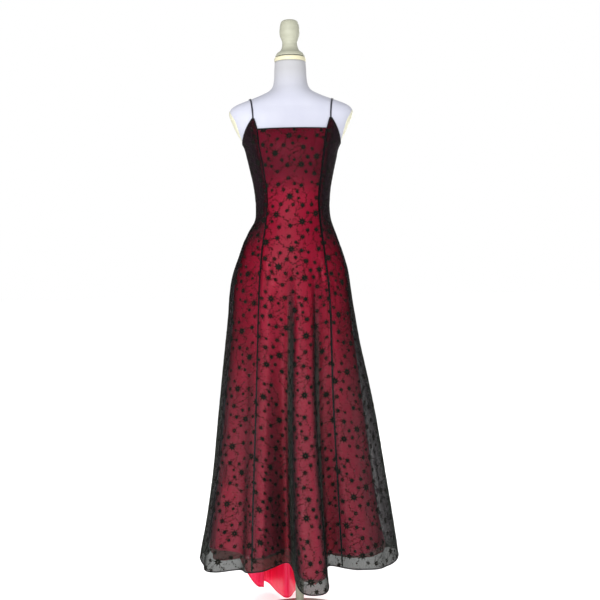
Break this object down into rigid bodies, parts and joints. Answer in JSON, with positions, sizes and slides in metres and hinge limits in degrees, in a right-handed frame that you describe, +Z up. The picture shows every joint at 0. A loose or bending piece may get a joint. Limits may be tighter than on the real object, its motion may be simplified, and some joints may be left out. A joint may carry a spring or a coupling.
{
  "type": "prom dress on dress form",
  "caption": "Floor-length strapped prom dress of flocked sheer net over satin, worn by a limbless dress form on a round base.",
  "frame": {"origin": "middle of the underside of the round base plate, on the floor", "axes": "+Z up, the dress faces -Y, +X is to the right of someone who looks at its front"},
  "size_m": [0.599, 0.6717, 1.8083],
  "materials": {
    "net": "sheer black net with flocked flowers",
    "satin": "crimson satin with a soft sheen",
    "strap": "narrow black satin tube",
    "jersey": "white matt jersey cover",
    "cream_wood": "turned wood, cream paint",
    "zip_metal": "black enamel"
  },
  "bodies": {
    "dress_and_form": {"base_plate": "cream_wood", "base_socket": "cream_wood", "pole": "cream_wood", "torso_collar": "cream_wood", "neck_cap": "cream_wood", "form_torso": "jersey", "lining_centre_front": "satin", "lining_side_front_right": "satin", "lining_side_back_right": "satin", "lining_centre_back_right": "satin", "lining_centre_back_left": "satin", "lining_side_back_left": "satin", "lining_side_front_left": "satin", "overlay_centre_front": "net", "overlay_side_front_right": "net", "overlay_side_back_right": "net", "overlay_centre_back_right": "net", "overlay_centre_back_left": "net", "overlay_side_back_left": "net", "overlay_side_front_left": "net", "strap_left": "strap", "strap_right": "strap", "zip_slider": "zip_metal"},
    "zip_pull": {"zip_pull_tab": "zip_metal"}
  },
  "joints": [
    {"name": "zip_pull_hinge", "type": "hinge", "parent": "dress_and_form", "child": "zip_pull", "pos_m": [0, 0.10559, 1.41463], "axis": [1, 0, 0], "range_deg": [-8, 150]}
  ]
}
